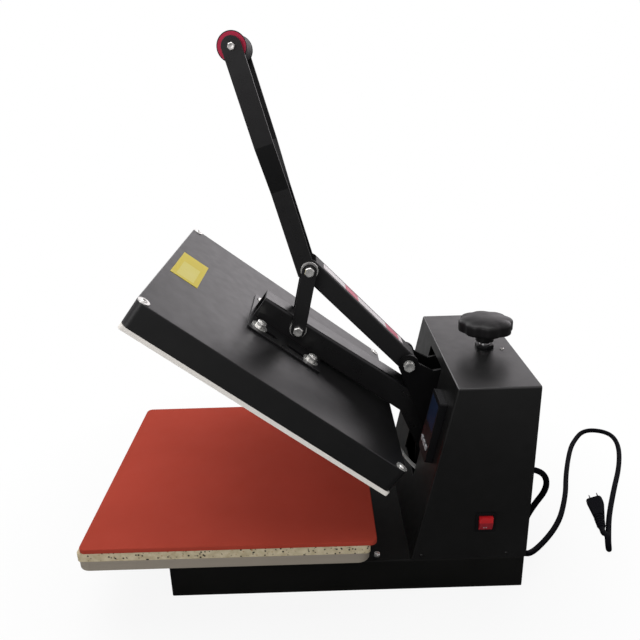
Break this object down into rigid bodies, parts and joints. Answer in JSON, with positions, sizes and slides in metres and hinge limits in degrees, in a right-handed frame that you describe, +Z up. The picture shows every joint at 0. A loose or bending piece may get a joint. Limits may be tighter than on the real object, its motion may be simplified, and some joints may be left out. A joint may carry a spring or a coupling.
{
  "type": "heat press",
  "caption": "Flat clamshell heat press: a fixed table with a foam mat, and a heated upper platen on a hinged arm that a long two-bar handle swings down.",
  "frame": {"origin": "under the middle of the machine on the floor, without its mains cord", "axes": "+Z up, +Y towards the rear housing, +X towards the side with the power switch"},
  "size_m": [0.4727, 0.8968, 0.7341],
  "materials": {
    "black_paint": "satin",
    "zinc_steel": "satin",
    "bright_steel": "polished",
    "tray_grey": "satin",
    "plate_aluminium": "satin",
    "board_beige": "speckled",
    "mat_red": "matte",
    "black_rubber": "matte",
    "grip_rubber": "soft matte",
    "black_plastic": "fine texture",
    "gloss_black": "gloss",
    "red_plastic": "gloss",
    "display_blue": "gloss",
    "key_grey": "satin",
    "plaque_yellow": "matte",
    "blanket_white": "soft",
    "lead_sleeve": "woven",
    "wire_white": "satin",
    "blade_brass": "satin"
  },
  "bodies": {
    "frame": {"base_channel": "black_paint", "base_bottom_plate": "black_paint", "base_feet": "black_rubber", "base_bolts": "zinc_steel", "platen_pedestal": "black_paint", "lower_tray": "tray_grey", "pressing_board": "board_beige", "silicone_mat": "mat_red", "housing_shell": "black_paint", "housing_screws": "zinc_steel", "housing_rear_cover": "black_paint", "linkage_side_plates": "black_paint", "frame_cross_ties": "zinc_steel", "hinge_shaft": "bright_steel", "upper_pivot_bolt": "zinc_steel", "upper_pivot_nut": "zinc_steel", "screw_carrier": "zinc_steel", "screw_lock_ring": "zinc_steel", "controller_case": "black_plastic", "display_window": "display_blue", "switch_bezel": "gloss_black", "relay_block": "black_plastic", "internal_wiring": "wire_white", "heater_leads": "lead_sleeve", "cord_gland": "black_rubber", "mains_cord": "black_rubber", "mains_plug": "black_rubber", "plug_blades": "blade_brass"},
    "platen_arm": {"press_arm": "black_paint", "arm_base_plate": "black_paint", "platen_studs": "zinc_steel", "platen_nuts": "zinc_steel", "platen_washers": "zinc_steel", "upper_cover": "black_paint", "insulation_blanket": "blanket_white", "heating_plate": "plate_aluminium", "heating_element": "zinc_steel", "temperature_probe": "bright_steel", "cover_screws": "zinc_steel", "blank_plaque": "plaque_yellow", "arm_pivot_bolts": "zinc_steel", "arm_pivot_collars": "zinc_steel"},
    "toggle_legs": {"toggle_legs": "black_paint", "leg_end_bolts": "zinc_steel", "leg_washers": "zinc_steel"},
    "handle_lever": {"lever_channel": "black_paint", "lever_bush": "bright_steel", "lever_pin": "bright_steel", "handle_bars": "black_paint", "grip_rod": "bright_steel", "grip_sleeve": "grip_rubber", "grip_discs": "red_plastic", "grip_bolts": "zinc_steel"},
    "pressure_knob": {"pressure_knob": "black_plastic", "pressure_screw": "bright_steel"},
    "pressure_block": {"pressure_block": "zinc_steel"},
    "power_rocker": {"power_rocker": "red_plastic"},
    "key_left": {"controller_key_1": "key_grey"},
    "key_middle": {"controller_key_2": "key_grey"},
    "key_right": {"controller_key_3": "key_grey"}
  },
  "joints": [
    {"name": "platen_hinge", "type": "hinge", "parent": "frame", "child": "platen_arm", "pos_m": [0, 0.18985, 0.1429], "axis": [1, 0, 0], "range_deg": [0, 37.55], "deforming": ["heater_leads"]},
    {"name": "leg_pivot", "type": "hinge", "parent": "platen_arm", "child": "toggle_legs", "pos_m": [0, -0.00704, 0.35391], "axis": [1, 0, 0], "range_deg": [-60, 0]},
    {"name": "lever_pivot", "type": "hinge", "parent": "frame", "child": "handle_lever", "pos_m": [0, 0.14695, 0.2958], "axis": [1, 0, 0], "range_deg": [0, 57]},
    {"name": "knob_turn", "type": "hinge", "parent": "frame", "child": "pressure_knob", "pos_m": [0, 0.25955, 0.3403], "axis": [0, 0, 1], "range_deg": [-540, 540]},
    {"name": "block_slide", "type": "slide", "parent": "frame", "child": "pressure_block", "axis": [0, 0, 1], "range_m": [-0.0031, 0.0031]},
    {"name": "rocker_tip", "type": "hinge", "parent": "frame", "child": "power_rocker", "pos_m": [0.1351, 0.23885, 0.11025], "axis": [0, 1, 0], "range_deg": [-18, 0]},
    {"name": "key_left_press", "type": "slide", "parent": "frame", "child": "key_left", "axis": [0, 0.979, -0.204], "range_m": [0, 0.0012], "stiffness_N_per_m": 400, "springref_m": -0.001},
    {"name": "key_middle_press", "type": "slide", "parent": "frame", "child": "key_middle", "axis": [0, 0.979, -0.204], "range_m": [0, 0.0012], "stiffness_N_per_m": 400, "springref_m": -0.001},
    {"name": "key_right_press", "type": "slide", "parent": "frame", "child": "key_right", "axis": [0, 0.979, -0.204], "range_m": [0, 0.0012], "stiffness_N_per_m": 400, "springref_m": -0.001}
  ],
  "couplings": [
    {"joint": "leg_pivot", "follows": "platen_hinge", "ratio": -1.5872},
    {"joint": "lever_pivot", "follows": "platen_hinge", "ratio": 1.5057},
    {"joint": "block_slide", "follows": "knob_turn", "m_per_rad": 0.00031831}
  ]
}
